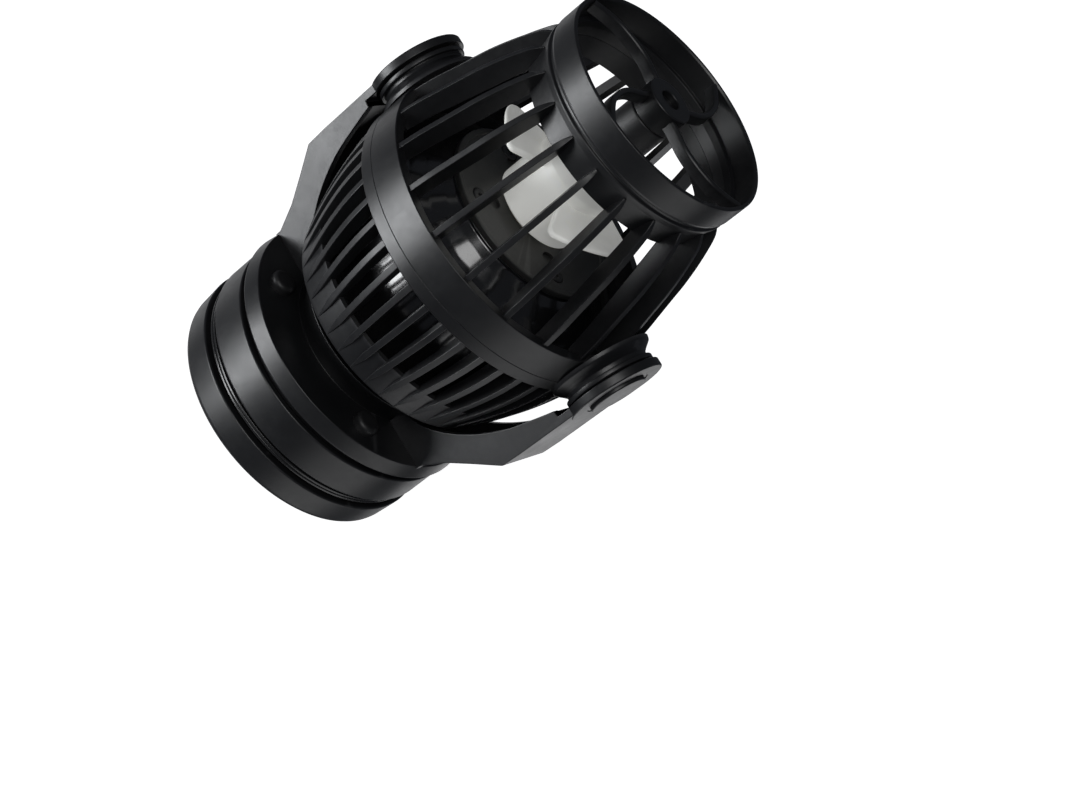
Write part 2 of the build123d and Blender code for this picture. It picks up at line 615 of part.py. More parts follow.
# ------------------------------------------------------------------- rotor
with BuildPart() as shaft:
    with BuildSketch(Plane.XY.offset(48.6)):
        Circle(shaft_r)
    extrude(amount=130.4 - 48.6)
    chamfer(shaft.edges().filter_by(GeomType.CIRCLE), 0.3)
save(shaft, "shaft")

with BuildPart() as rotor_magnet:
    with BuildSketch(Plane.XY.offset(54.0)):
        Circle(10.6)
        Circle(shaft_r, mode=Mode.SUBTRACT)
    extrude(amount=22.0)
save(rotor_magnet, "rotor_magnet")

# plastic overmould of the magnet with the neck that drives the propeller
with BuildPart() as rotor_sleeve:
    with BuildSketch(Plane.XZ):
        with BuildLine():
            Polyline(
                (shaft_r, 53.0), (rotor_r, 53.0), (rotor_r, 78.0), (7.6, 79.5), (7.6, prop_z0), (5.0, prop_z0), (5.0, 91.5), (shaft_r, 91.5), (shaft_r, 76.0), (10.6, 76.0), (10.6, 54.0), (shaft_r, 54.0), (shaft_r, 53.0),
            )
        make_face()
    revolve(axis=Axis.Z)
save(rotor_sleeve, "rotor_sleeve")

# three wide, nearly flat blades with rounded outer corners
with BuildPart() as blades:
    for k in range(3):
        c = math.radians(-28 + 120 * k)
        p = math.radians(blade_pitch)
        h = math.radians(blade_span / 2)
        with BuildSketch(Plane(origin=(0, 0, blade_z), x_dir=(math.cos(c), math.sin(c), 0), z_dir=(math.sin(c) * math.sin(p), -math.cos(c) * math.sin(p), math.cos(p)))) as blade_sketch:
            with BuildLine():
                l1 = Polyline((prop_tip_r * math.cos(h), prop_tip_r * math.sin(h)), (6.0, 5.6), (6.0, -5.6), (prop_tip_r * math.cos(h), -prop_tip_r * math.sin(h)))
                ThreePointArc((prop_tip_r * math.cos(h), -prop_tip_r * math.sin(h)), (prop_tip_r, 0), (prop_tip_r * math.cos(h), prop_tip_r * math.sin(h)))
            make_face()
            fillet(blade_sketch.vertices().sort_by(Axis.X)[-2:], 4.5)
        extrude(amount=blade_t / 2, both=True)

with BuildPart() as propeller:
    with BuildSketch(Plane.XZ):
        with BuildLine():
            Polyline(
                (5.0, prop_z0 + 0.02), (prop_hub_r - 0.5, prop_z0 + 0.02), (prop_hub_r, prop_z0 + 0.5), (prop_hub_r, 104.5), (10.6, 107.2), (8.6, 109.3), (6.2, 110.2),
                (shaft_r, 110.2), (shaft_r, 91.52), (5.0, 91.52), (5.0, prop_z0 + 0.02),
            )
        make_face()
    revolve(axis=Axis.Z)
    add(blades.part)
    # keep the shaft bore clear
    with BuildSketch(Plane.XY.offset(91.52)):
        Circle(shaft_r)
    extrude(amount=30, mode=Mode.SUBTRACT)
    with BuildSketch(Plane.XY.offset(80)):
        Circle(5.0)
    extrude(amount=11.52, mode=Mode.SUBTRACT)
save(propeller, "propeller")

# long dark spinner nut between the propeller and the nozzle hub
with BuildPart() as propeller_nut:
    with BuildSketch(Plane.XZ):
        with BuildLine():
            Polyline((shaft_r, 110.22), (6.0, 110.22), (6.0, 126.2), (5.6, 126.6), (shaft_r, 126.6), (shaft_r, 110.22))
        make_face()
    revolve(axis=Axis.Z)
save(propeller_nut, "propeller_nut")
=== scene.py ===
import bpy, bmesh, math, json
import numpy as np
from mathutils import Vector, Matrix


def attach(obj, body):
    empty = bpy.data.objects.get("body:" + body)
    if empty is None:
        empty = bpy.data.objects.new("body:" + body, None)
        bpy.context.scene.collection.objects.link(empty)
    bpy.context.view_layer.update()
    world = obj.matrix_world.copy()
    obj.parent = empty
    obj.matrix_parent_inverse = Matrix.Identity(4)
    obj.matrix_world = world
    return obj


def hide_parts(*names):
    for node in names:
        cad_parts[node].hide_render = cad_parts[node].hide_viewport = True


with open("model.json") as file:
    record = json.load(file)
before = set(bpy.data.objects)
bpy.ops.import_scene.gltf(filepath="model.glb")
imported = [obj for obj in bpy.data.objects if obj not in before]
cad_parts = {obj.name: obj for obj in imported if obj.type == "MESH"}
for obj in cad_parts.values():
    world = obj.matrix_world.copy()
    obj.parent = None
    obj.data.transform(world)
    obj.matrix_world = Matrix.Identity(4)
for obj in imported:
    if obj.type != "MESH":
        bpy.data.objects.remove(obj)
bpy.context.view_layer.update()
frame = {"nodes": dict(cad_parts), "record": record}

MM = 0.001
BODY = {n: b for b, ns in frame["record"]["behaviour"]["bodies"].items() for n in ns}
SLOT = {s["node"]: s["material_slot"] for s in frame["record"]["subparts"]}


# ------------------------------------------------------------------ mesh tools
def round_pts(pts, n=5, closed=True):
    """pts: (x, y) or (x, y, fillet radius); returns the polygon with rounded corners."""
    out = []
    m = len(pts)
    for i, p in enumerate(pts):
        r = p[2] if len(p) > 2 else 0.0
        if r <= 0 or (not closed and i in (0, m - 1)):
            out.append((p[0], p[1]))
            continue
        a, b, c = Vector(pts[i - 1][:2]), Vector(p[:2]), Vector(pts[(i + 1) % m][:2])
        u, v = (a - b), (c - b)
        lu, lv = u.length, v.length
        u.normalize(); v.normalize()
        ang = u.angle(v)
        if ang > math.pi - 0.02:
            out.append((p[0], p[1]))
            continue
        d = r / math.tan(ang / 2)
        d = min(d, 0.48 * lu, 0.48 * lv)
        rr = d * math.tan(ang / 2)
        bis = (u + v).normalized()
        cen = b + bis * (rr / math.sin(ang / 2))
        p0, p1 = b + u * d, b + v * d
        w0, w1 = p0 - cen, p1 - cen
        t0, t1 = math.atan2(w0.y, w0.x), math.atan2(w1.y, w1.x)
        dt = (t1 - t0 + math.pi) % (2 * math.pi) - math.pi
        for k in range(n + 1):
            t = t0 + dt * k / n
            out.append((cen.x + rr * math.cos(t), cen.y + rr * math.sin(t)))
    return out


def spline(pts, n=40):
    """Catmull-Rom (centripetal-like, uniform) through the points, resampled evenly by length."""
    P = [np.array(p, float) for p in pts]
    P = [2 * P[0] - P[1]] + P + [2 * P[-1] - P[-2]]
    dense = []
    for i in range(1, len(P) - 2):
        for k in range(24):
            t = k / 24.0
            a, b, c, d = P[i - 1], P[i], P[i + 1], P[i + 2]
            dense.append(0.5 * ((2 * b) + (-a + c) * t + (2 * a - 5 * b + 4 * c - d) * t * t + (-a + 3 * b - 3 * c + d) * t ** 3))
    dense.append(P[-2])
    D = np.array(dense)
    s = np.r_[0, np.cumsum(np.linalg.norm(np.diff(D, axis=0), axis=1))]
    q = np.linspace(0, s[-1], n)
    return np.stack([np.interp(q, s, D[:, k]) for k in range(D.shape[1])], 1)


def mesh_obj(name, verts, faces, sharp=35.0, scale=MM):
    me = bpy.data.meshes.new(name)
    me.from_pydata([tuple(float(c) * scale for c in v) for v in verts], [], faces)
    me.validate()
    bm = bmesh.new()
    bm.from_mesh(me)
    bmesh.ops.remove_doubles(bm, verts=bm.verts, dist=1e-7)
    bmesh.ops.recalc_face_normals(bm, faces=bm.faces)
    bm.to_mesh(me)
    bm.free()
    me.polygons.foreach_set("use_smooth", [True] * len(me.polygons))
    me.set_sharp_from_angle(angle=math.radians(sharp))
    o = bpy.data.objects.new(name, me)
    bpy.context.scene.collection.objects.link(o)
    wn = o.modifiers.new("flat_faces", "WEIGHTED_NORMAL")
    wn.keep_sharp = True
    wn.weight = 90
    return o


def lathe_data(pts, segs=192, a0=0.0, a1=360.0, frame3=None):
    """pts: closed (r, z) polygon; touches the axis where r is 0."""
    full = abs(a1 - a0) >= 359.99
    cols = segs if full else segs + 1
    verts, rings = [], []
    for r, z in pts:
        if r < 1e-6:
            rings.append([len(verts)] * cols)
            verts.append((0, 0, z))
        else:
            ids = []
            for k in range(cols):
                t = math.radians(a0 + (a1 - a0) * k / segs)
                ids.append(len(verts))
                verts.append((r * math.cos(t), r * math.sin(t), z))
            rings.append(ids)
    faces = []
    m = len(pts)
    for i in range(m):
        A, B = rings[i], rings[(i + 1) % m]
        if A[0] == A[-1] and B[0] == B[-1] and cols > 1:
            continue
        for k in range(segs):
            k2 = (k + 1) % cols
            q = [A[k], A[k2], B[k2], B[k]]
            q = [x for j, x in enumerate(q) if x not in q[:j]]
            if len(q) >= 3:
                faces.append(tuple(q))
    if not full:
        faces.append(tuple(r[0] for r in rings))
        faces.append(tuple(r[-1] for r in rings)[::-1])
    if frame3 is not None:
        M = Matrix(frame3)
        verts = [tuple(M @ Vector(v)) for v in verts]
    return verts, faces


def merge(*parts):
    V, F = [], []
    for v, f in parts:
        b = len(V)
        V += list(v)
        F += [tuple(i + b for i in q) for q in f]
    return V, F


def xaxis_frame(s, x0, z0):
    """lathe frame whose axis runs along s*X from (x0, 0, z0)."""
    return ((0, 0, s, s * x0), (0, 1, 0, 0), (-s, 0, 0, z0), (0, 0, 0, 1))


def yaxis_frame(y0, z0):
    return ((1, 0, 0, 0), (0, 0, 1, y0), (0, -1, 0, z0), (0, 0, 0, 1))


def at(x, y, z):
    return ((1, 0, 0, x), (0, 1, 0, y), (0, 0, 1, z), (0, 0, 0, 1))


def rotz(verts, deg):
    c, s = math.cos(math.radians(deg)), math.sin(math.radians(deg))
    return [(c * x - s * y, s * x + c * y, z) for x, y, z in verts]


def rib_data(outer, inner, w_of, n=44, corner=0.45, k=3):
    """A rib in the XZ half plane: a rounded bar between two curves, of width w_of(t)."""
    O, I = spline(outer, n), spline(inner, n)
    verts, rings = [], []
    for i in range(n):
        t = i / (n - 1)
        w = w_of(t) / 2
        o, q = O[i], I[i]
        d = o - q
        L = np.linalg.norm(d)
        d = d / max(L, 1e-9)
        c = min(corner, 0.95 * w, 0.4 * L)
        ring = []
        for (sx, sy) in ((1, 1), (-1, 1), (-1, -1), (1, -1)):
            # sx: outer/inner side, sy: +y/-y side
            for j in range(k + 1):
                th = math.pi / 2 * j / k
                if (sx, sy) == (1, 1):
                    a, b = L - c + c * math.cos(th), w - c + c * math.sin(th)
                elif (sx, sy) == (-1, 1):
                    a, b = c - c * math.sin(th), w - c + c * math.cos(th)
                elif (sx, sy) == (-1, -1):
                    a, b = c - c * math.cos(th), -(w - c) - c * math.sin(th)
                else:
                    a, b = L - c + c * math.sin(th), -(w - c) - c * math.cos(th)
                p = q + d * a
                ring.append(len(verts))
                verts.append((p[0], b, p[1]))
        rings.append(ring)
    faces = []
    m = len(rings[0])
    for i in range(n - 1):
        for j in range(m):
            j2 = (j + 1) % m
            faces.append((rings[i][j], rings[i][j2], rings[i + 1][j2], rings[i + 1][j]))
    faces.append(tuple(rings[0]))
    faces.append(tuple(rings[-1])[::-1])
    return verts, faces


def prism_bm(poly, y0, y1):
    """Closed prism of an XZ polygon between y0 and y1 (a bmesh)."""
    bm = bmesh.new()
    A = [bm.verts.new((x, y0, z)) for x, z in poly]
    B = [bm.verts.new((x, y1, z)) for x, z in poly]
    n = len(poly)
    bm.faces.new(A)
    bm.faces.new(B[::-1])
    for i in range(n):
        bm.faces.new((A[i], B[i], B[(i + 1) % n], A[(i + 1) % n]))
    bmesh.ops.recalc_face_normals(bm, faces=bm.faces)
    return bm


def bm_data(bm):
    bm.verts.index_update()
    v = [tuple(x.co) for x in bm.verts]
    f = [tuple(q.index for q in face.verts) for face in bm.faces]
    bm.free()
    return v, f


def tmp_obj(bm_or_data, name="tmp"):
    if isinstance(bm_or_data, tuple):
        me = bpy.data.meshes.new(name)
        me.from_pydata(bm_or_data[0], [], bm_or_data[1])
    else:
        me = bpy.data.meshes.new(name)
        bm_or_data.to_mesh(me)
        bm_or_data.free()
    o = bpy.data.objects.new(name, me)
    bpy.context.scene.collection.objects.link(o)
    return o


def boolean(a, b, op="DIFFERENCE"):
    """a op b on temporary objects in millimetres; b is removed."""
    m = a.modifiers.new("b", "BOOLEAN")
    m.operation, m.object, m.solver = op, b, "EXACT"
    dg = bpy.context.evaluated_depsgraph_get()
    me = bpy.data.meshes.new_from_object(a.evaluated_get(dg))
    a.modifiers.clear()
    a.data = me
    bpy.data.objects.remove(b)
    return a


def bevel_tmp(o, width, segs=3, angle=30.0):
    bm = bmesh.new()
    bm.from_mesh(o.data)
    bmesh.ops.remove_doubles(bm, verts=bm.verts, dist=1e-5)
    bmesh.ops.dissolve_limit(bm, angle_limit=math.radians(0.5), verts=bm.verts, edges=bm.edges)
    edges = [e for e in bm.edges if len(e.link_faces) == 2 and e.calc_face_angle(0) > math.radians(angle)]
    bmesh.ops.bevel(bm, geom=edges, offset=width, segments=segs, profile=0.5, affect="EDGES", clamp_overlap=True)
    bm.to_mesh(o.data)
    bm.free()
    return o


def take(o):
    me = o.data
    v = [tuple(x.co) for x in me.vertices]
    f = [tuple(p.vertices) for p in me.polygons]
    bpy.data.objects.remove(o)
    return v, f


def piece(name, data, node, mat, sharp=35.0, also=()):
    o = mesh_obj(name, data[0], data[1], sharp)
    o.data.materials.append(mat)
    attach(o, BODY[node])
    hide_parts(node, *also)
    return o


# ------------------------------------------------------------------ materials
def new_mat(name):
    m = bpy.data.materials.new(name)
    m.use_nodes = True
    nt = m.node_tree
    nt.nodes.clear()
    out = nt.nodes.new("ShaderNodeOutputMaterial")
    b = nt.nodes.new("ShaderNodeBsdfPrincipled")
    nt.links.new(b.outputs[0], out.inputs[0])
    return m, nt, b


def noise(nt, vec, scale, detail=4.0, rough=0.55):
    n = nt.nodes.new("ShaderNodeTexNoise")
    n.inputs["Scale"].default_value = scale
    n.inputs["Detail"].default_value = detail
    n.inputs["Roughness"].default_value = rough
    nt.links.new(vec, n.inputs["Vector"])
    return n.outputs["Fac"]


def ramp(nt, fac, a, b, lo, hi):
    r = nt.nodes.new("ShaderNodeMapRange")
    r.inputs["From Min"].default_value = a
    r.inputs["From Max"].default_value = b
    r.inputs["To Min"].default_value = lo
    r.inputs["To Max"].default_value = hi
    nt.links.new(fac, r.inputs["Value"])
    return r.outputs["Result"]


def mixcol(nt, fac, c1, c2):
    m = nt.nodes.new("ShaderNodeMix")
    m.data_type = "RGBA"
    for k, c in (("A", c1), ("B", c2)):
        i = [s for s in m.inputs if s.name == k and s.type == "RGBA"][0]
        if isinstance(c, tuple):
            i.default_value = (*c, 1.0)
        else:
            nt.links.new(c, i)
    f = [s for s in m.inputs if s.name == "Factor" and s.type == "VALUE"][0]
    nt.links.new(fac, f)
    return [s for s in m.outputs if s.type == "RGBA"][0]


def math_node(nt, op, a, b):
    n = nt.nodes.new("ShaderNodeMath")
    n.operation = op
    for i, x in enumerate((a, b)):
        if isinstance(x, (int, float)):
            n.inputs[i].default_value = x
        else:
            nt.links.new(x, n.inputs[i])
    return n.outputs[0]


def plastic(name, col, rough=0.4, grain=0.35, grain_h=0.012, var=0.06, edge_sheen=0.5, spec=0.5, coat=0.0, coat_ior=1.5, coat_rough=0.06, metal=0.0, ripple=0.02, painted_glow=0.0):
    """Moulded plastic: fine spark-eroded grain, slow mottling of gloss, edges painted paler as a highlight, a little
    dust.
    """
    m, nt, b = new_mat(name)
    tc = nt.nodes.new("ShaderNodeTexCoord").outputs["Object"]
    g = noise(nt, tc, 1000.0 / grain, 3.0, 0.6)
    slow = noise(nt, tc, 70.0, 3.0, 0.5)
    mid = noise(nt, tc, 420.0, 5.0, 0.65)
    geo = nt.nodes.new("ShaderNodeNewGeometry")
    # pointiness mask of convex edges, where a highlight is painted into the colour
    e = ramp(nt, geo.outputs["Pointiness"], 0.515, 0.60, 0.0, 1.0)
    e.node.clamp = True
    edge_sheen_mask = math_node(nt, "MULTIPLY", e, ramp(nt, mid, 0.35, 0.65, 0.4, 1.0))
    c_lo = tuple(x * 0.82 for x in col)
    c_hi = tuple(min(1.0, x * 1.16) for x in col)
    base = mixcol(nt, ramp(nt, slow, 0.3, 0.7, 0.0, 1.0), c_lo, c_hi)
    # paler edge colour: a painted highlight along the edges, broken up by noise
    edge_sheen_col = tuple(min(1.0, x * (1 + 1.6 * edge_sheen) + 0.02 * edge_sheen) for x in col)
    base = mixcol(nt, edge_sheen_mask, base, edge_sheen_col)
    nt.links.new(base, b.inputs["Base Color"])
    r = ramp(nt, slow, 0.3, 0.7, rough - var / 2, rough + var / 2)
    r = math_node(nt, "ADD", r, ramp(nt, g, 0.3, 0.7, -0.03, 0.03))
    r = math_node(nt, "ADD", r, ramp(nt, mid, 0.35, 0.7, -0.02, 0.03))
    nt.links.new(r, b.inputs["Roughness"])
    b.inputs["Specular IOR Level"].default_value = spec
    b.inputs["Metallic"].default_value = metal
    b.inputs["Coat Weight"].default_value = coat
    b.inputs["Coat Roughness"].default_value = coat_rough
    b.inputs["Coat IOR"].default_value = coat_ior
    # emission of the base colour: painted light that brightens the part though it is no lamp
    nt.links.new(base, b.inputs["Emission Color"])
    b.inputs["Emission Strength"].default_value = painted_glow
    bump = nt.nodes.new("ShaderNodeBump")
    bump.inputs["Strength"].default_value = 0.6
    bump.inputs["Distance"].default_value = grain_h * MM
    nt.links.new(g, bump.inputs["Height"])
    bump2 = nt.nodes.new("ShaderNodeBump")
    bump2.inputs["Strength"].default_value = 0.35
    bump2.inputs["Distance"].default_value = ripple * MM
    nt.links.new(mid, bump2.inputs["Height"])
    nt.links.new(bump.outputs[0], bump2.inputs["Normal"])
    nt.links.new(bump2.outputs[0], b.inputs["Normal"])
    return m


# the edge strength of each material sets how much highlight is painted onto its edges
M = {
    "black_satin": plastic("black_satin", (0.0076, 0.0078, 0.0086), 0.37, grain=0.30, grain_h=0.010, edge_sheen=0.8),
    "black_face": plastic("black_face", (0.0072, 0.0072, 0.0078), 0.46, grain=0.30, grain_h=0.012, edge_sheen=0.6),
    "pad_rubber": plastic("pad_rubber", (0.010, 0.010, 0.0105), 0.26, grain=0.6, grain_h=0.006, edge_sheen=0.3),
    "magnet_steel": plastic("magnet_steel", (0.55, 0.55, 0.56), 0.28, grain=0.5, grain_h=0.01, edge_sheen=0.2, metal=1.0),
    "acetal": plastic("acetal", (0.72, 0.70, 0.64), 0.42, grain=0.4, grain_h=0.01, edge_sheen=0.1),
    "stainless": plastic("stainless", (0.55, 0.55, 0.56), 0.30, grain=0.4, grain_h=0.01, edge_sheen=0.3, metal=1.0),
    "black_gloss": plastic("black_gloss", (0.006, 0.006, 0.0065), 0.20, grain=1.2, grain_h=0.0006, var=0.03, edge_sheen=0.2, coat=0.7, coat_ior=1.6, coat_rough=0.12, ripple=0.001),
    "cap_grey": plastic("cap_grey", (0.022, 0.022, 0.021), 0.42, grain=0.3, grain_h=0.010, edge_sheen=0.8),
    # the propeller emits a little of its own colour: painted light that keeps it evenly bright
    "prop_grey": plastic("prop_grey", (0.84, 0.84, 0.80), 0.38, grain=0.5, grain_h=0.008, var=0.05, edge_sheen=0.1, painted_glow=0.22),
    "ceramic_shaft": plastic("ceramic_shaft", (0.82, 0.80, 0.76), 0.18, grain=0.8, grain_h=0.002, edge_sheen=0.1),
    "lamination": plastic("lamination", (0.35, 0.35, 0.37), 0.38, grain=0.5, grain_h=0.02, edge_sheen=0.2, metal=1.0),
    "copper": plastic("copper", (0.62, 0.26, 0.11), 0.30, grain=0.5, grain_h=0.03, edge_sheen=0.3, metal=1.0),
    "board": plastic("board", (0.01, 0.11, 0.045), 0.35, grain=0.5, grain_h=0.01, edge_sheen=0.2),
    "seal_rubber": plastic("seal_rubber", (0.012, 0.012, 0.012), 0.5, grain=0.4, grain_h=0.02, edge_sheen=0.2),
    "cable_jacket": plastic("cable_jacket", (0.013, 0.013, 0.014), 0.45, grain=0.4, grain_h=0.015, edge_sheen=0.2),
}
for n, o in frame["nodes"].items():
    o.data.materials.clear()
    o.data.materials.append(M[SLOT[n]])

# ------------------------------------------------------------------ magnet clamp
seg = 256
piece("dry_holder", lathe_data(round_pts([
    (0, 0), (24.8, 0, 0.1), (24.8, 0.5, 0.1), (26.0, 0.5, 0.1), (26.0, 0, 0.1), (34.1, 0, 2.3), (34.8, 8.9, 0.45),
    (32.6, 8.9, 0.15), (32.6, 2.2, 0.3), (0, 2.2)]), seg), "outer_magnet_shell", M["black_satin"])
piece("dry_pad", lathe_data(round_pts([
    (0, 7.42), (31.6, 7.42), (31.6, 9.88, 0.1), (33.8, 9.88, 0.22), (33.8, 10.735, 0.3), (0, 10.735)]), seg), "outer_pad", M["pad_rubber"])
piece("wet_pad", lathe_data(round_pts([
    (0, 10.765), (33.8, 10.765, 0.3), (33.8, 11.615, 0.22), (31.6, 11.615, 0.1), (31.6, 14.98), (0, 14.98)]), seg), "inner_pad", M["pad_rubber"])
piece("wet_holder", lathe_data(round_pts([
    (0, 20.2), (32.5, 20.2, 0.3), (32.5, 12.5, 0.12), (34.7, 12.5, 0.75), (34.7, 22.4, 0.45), (14.0, 22.4, 0.1), (14.0, 25.5, 0.2), (0, 25.5)]), seg),
    "inner_magnet_shell", M["black_satin"])
piece("swivel_ring", lathe_data(round_pts([
    (14.1, 22.4), (33.0, 22.4, 0.2), (33.0, 24.56, 0.2), (14.1, 24.56)]), seg), "swivel_washer", M["black_face"])

# ------------------------------------------------------------------ bracket
PZ, DR = 81.7, 52.2


def dish(r):
    return PZ - math.sqrt(DR * DR - r * r)


base_prof = round_pts([(0, 28.05), (4.2, 28.05), (4.2, 27.05), (32.5, 27.05, 0.2), (32.5, 24.6, 0.12), (35.45, 24.6, 0.5), (34.72, 29.4, 0.3),
                       (22.3, 29.4, 0.12), (22.55, 31.4), (23.3, 33.7), (24.5, 35.8, 0.2), (24.3, 36.02, 0.1), (23.9, 35.95, 0.12), (23.7, dish(23.7))], closed=False)
base_prof += [(r, dish(r)) for r in np.linspace(22.5, 1.5, 16)] + [(0, PZ - DR)]
parts = [lathe_data(base_prof, seg)]
arm_outer = [(30.5, 28.2), (33.9, 28.6), (33.9, 30.2), (37.1, 37.0), (41.1, 43.2), (45.8, 50.2), (46.05, 56.0), (46.15, 70.0), (46.3, 81.0)]
chan = [(31.5, 30.6), (34.9, 37.6), (38.9, 44.0), (43.6, 51.0), (43.9, 56.5), (44.05, 66.0), (44.2, 72.0), (44.2, 92.0), (30.0, 92.0), (18.0, 40.0), (22.0, 34.5), (27.0, 30.6)]
inner_s = [tuple(p) for p in spline([(42.6, 70.0), (41.6, 65.5), (39.6, 57.4), (37.4, 51.6), (34.7, 46.4), (31.4, 41.6), (27.6, 37.6), (24.6, 35.6), (20.5, 33.8)], 40)]
arm_poly = arm_outer + [(44.2, 81.0), (44.2, 70.2)] + inner_s + [(20.5, 28.2)]
dish_cut = [(0, PZ - DR)] + [(r, dish(r)) for r in np.linspace(2, 23.7, 20)] + [(23.7, 46), (0, 46)]


def slab(point, normal, size=22.0, depth=6.0):
    """A box standing on the plane through point, on the side the normal points to."""
    n = Vector(normal).normalized()
    u = n.orthogonal().normalized()
    v = n.cross(u)
    P = Vector(point)
    corner = [P + u * a * size + v * b * size + n * c * depth for c in (0, 1) for b in (-1, 1) for a in (-1, 1)]
    return [tuple(c) for c in corner], [(0, 1, 3, 2), (4, 6, 7, 5), (0, 4, 5, 1), (2, 3, 7, 6), (0, 2, 6, 4), (1, 5, 7, 3)]


FA, FB, FC = Vector((33.2, -9.4, 29.4)), Vector((25.5, -9.4, 36.5)), Vector((22.0, -7.8, 29.4))
FN = (FB - FA).cross(FC - FA)
for s in (1, -1):
    a = tmp_obj(prism_bm([(s * x, z) for x, z in arm_poly], -9.4, 9.4))
    a = boolean(a, tmp_obj(prism_bm([(s * x, z) for x, z in chan], -7.4, 7.4)))
    for q in (1, -1):
        a = boolean(a, tmp_obj(slab((s * FA.x, q * FA.y, FA.z), (s * FN.x, q * FN.y, FN.z))))
    a = boolean(a, tmp_obj(lathe_data(dish_cut, 128)))
    a = bevel_tmp(a, 0.2, 3, 7.0)
    parts.append(take(a))
    ear = lathe_data(round_pts([(4.5, 0), (12.2, 0, 0.25), (12.2, 2.2, 0.4), (8.1, 2.2, 0.12), (8.1, 2.0, 0.1), (7.35, 2.0), (4.5, 2.0)]), 128, frame3=xaxis_frame(s, 44.2, PZ))
    parts.append(ear)
piece("u_bracket", merge(*parts), "bracket", M["black_satin"], 30.0)

screws, bits = [], []
for k in range(4):
    a = math.radians(45 + 90 * k)
    x, y = 28.2 * math.cos(a), 28.2 * math.sin(a)
    screws.append(lathe_data(round_pts([(0, 25.1), (1.25, 25.1), (1.25, 29.3), (3.2, 29.3), (3.2, 31.8, 1.1), (0, 31.8)]), 48, frame3=at(x, y, 0)))
piece("base_screw_set", merge(*screws), "base_screws", M["black_face"])
pins, washers = [], []
for s in (1, -1):
    pins.append(lathe_data(round_pts([(0, 40.4), (4.4, 40.4, 0.3), (4.4, 46.2), (7.25, 46.2), (7.25, 47.2, 0.35), (0, 47.22)]), 96, frame3=xaxis_frame(s, 0, PZ)))
    washers.append(lathe_data(round_pts([(4.6, 43.75), (9.4, 43.75, 0.1), (9.4, 44.2), (4.6, 44.2)]), 96, frame3=xaxis_frame(s, 0, PZ)))
piece("pivot_pin_pair", merge(*pins), "pivot_pins", M["black_satin"])
piece("pivot_washer_pair", merge(*washers), "pivot_washers", M["black_face"])

# ------------------------------------------------------------------ front cage
front_outer = [(39.5, 84.0), (38.5, 90.5), (37.3, 96.0), (36.2, 101.0), (35.1, 106.0), (33.7, 111.0), (32.0, 116.0), (30.6, 119.3), (28.9, 121.6)]
front_inner = [(35.2, 83.0), (33.8, 90.0), (32.2, 96.0), (30.4, 103.0), (28.7, 110.0), (27.2, 116.0), (27.6, 120.9)]
parts = [
    lathe_data(round_pts([(37.5, 76.5), (40.0, 76.5, 0.12), (40.0, 85.0, 0.22), (37.5, 85.0, 0.15)]), seg),
    lathe_data(round_pts([(25.7, 115.5, 0.2), (27.6, 115.5, 0.2), (28.0, 118.5), (28.7, 121.8, 0.5), (29.18, 123.3, 0.35), (29.15, 123.62, 0.25), (28.65, 123.9, 0.3), (28.65, 124.31), (27.6, 124.3), (27.6, 121.3), (26.1, 121.3)]), seg),
]
rv, rf = rib_data(front_outer, front_inner, lambda t: 1.5 if t < 0.9 else 1.5 - 0.8 * ((t - 0.9) / 0.1) ** 1.5, n=60, corner=0.14)
for k in range(20):
    parts.append((rotz(rv, -89.4 + 18 * k), rf))
for s in (1, -1):
    parts.append(lathe_data(round_pts([
        (4.56, 38.4), (13.0, 38.4), (12.8, 39.4, 0.8), (11.4, 40.6, 0.8), (10.6, 41.4, 0.5), (10.4, 42.5, 0.15), (11.4, 42.5, 0.25), (11.4, 43.7, 0.3), (4.56, 43.7)]), 128, frame3=xaxis_frame(s, 0, PZ)))
piece("cage_front", merge(*parts), "front_cage", M["black_satin"])

# ------------------------------------------------------------------ nozzle
parts = [lathe_data(round_pts([
    (26.2, 121.35), (27.55, 121.35), (27.55, 124.32), (28.65, 124.32), (28.68, 124.6, 0.2), (29.2, 124.95, 0.3), (29.35, 125.5, 0.5), (29.35, 132.2, 0.35), (28.5, 132.2, 0.2), (28.2, 131.7, 0.2),
    (27.7, 126.1, 0.1), (26.6, 125.9, 0.15), (26.3, 124.2, 0.2)]), seg)]
parts.append(lathe_data(round_pts([(0, 130.9), (4.0, 130.9), (4.0, 126.9), (6.15, 126.9, 0.1), (6.15, 132.8, 0.4), (2.6, 132.8, 0.3), (2.6, 131.2), (0, 131.2)]), 96))


def vane_data(path, z0, z1, w, n=60, k=4):
    P = spline(path, n)
    T = np.gradient(P, axis=0)
    T /= np.linalg.norm(T, axis=1)[:, None]
    N = np.stack([-T[:, 1], T[:, 0]], 1)
    verts, rings = [], []
    h = w / 2
    sec = [(-h, z0), ]
    sec += [(-h * math.cos(math.pi * j / (2 * k)) , z1 - h + h * math.sin(math.pi * j / (2 * k))) for j in range(2 * k + 1)]
    sec += [(h, z0)]
    for i in range(n):
        ring = []
        for u, z in sec:
            q = P[i] + N[i] * u
            ring.append(len(verts))
            verts.append((q[0], q[1], z))
        rings.append(ring)
    faces = []
    m = len(sec)
    for i in range(n - 1):
        for j in range(m):
            j2 = (j + 1) % m
            faces.append((rings[i][j], rings[i][j2], rings[i + 1][j2], rings[i + 1][j]))
    faces.append(tuple(rings[0]))
    faces.append(tuple(rings[-1])[::-1])
    return verts, faces


def pol(r, a):
    return (r * math.cos(math.radians(a)), r * math.sin(math.radians(a)))


for k in range(4):
    path = [pol(r, a + 90 * k) for r, a in ((5.4, 149.0), (8.0, 157.6), (10.5, 159.3), (13.0, 161.0), (16.0, 165.0), (19.0, 169.8), (22.0, 174.6), (25.0, 180.9), (28.2, 187.2))]
    parts.append(vane_data(path, 128.8, 131.9, 1.5))
piece("nozzle", merge(*parts), "outlet_nozzle", M["black_satin"])

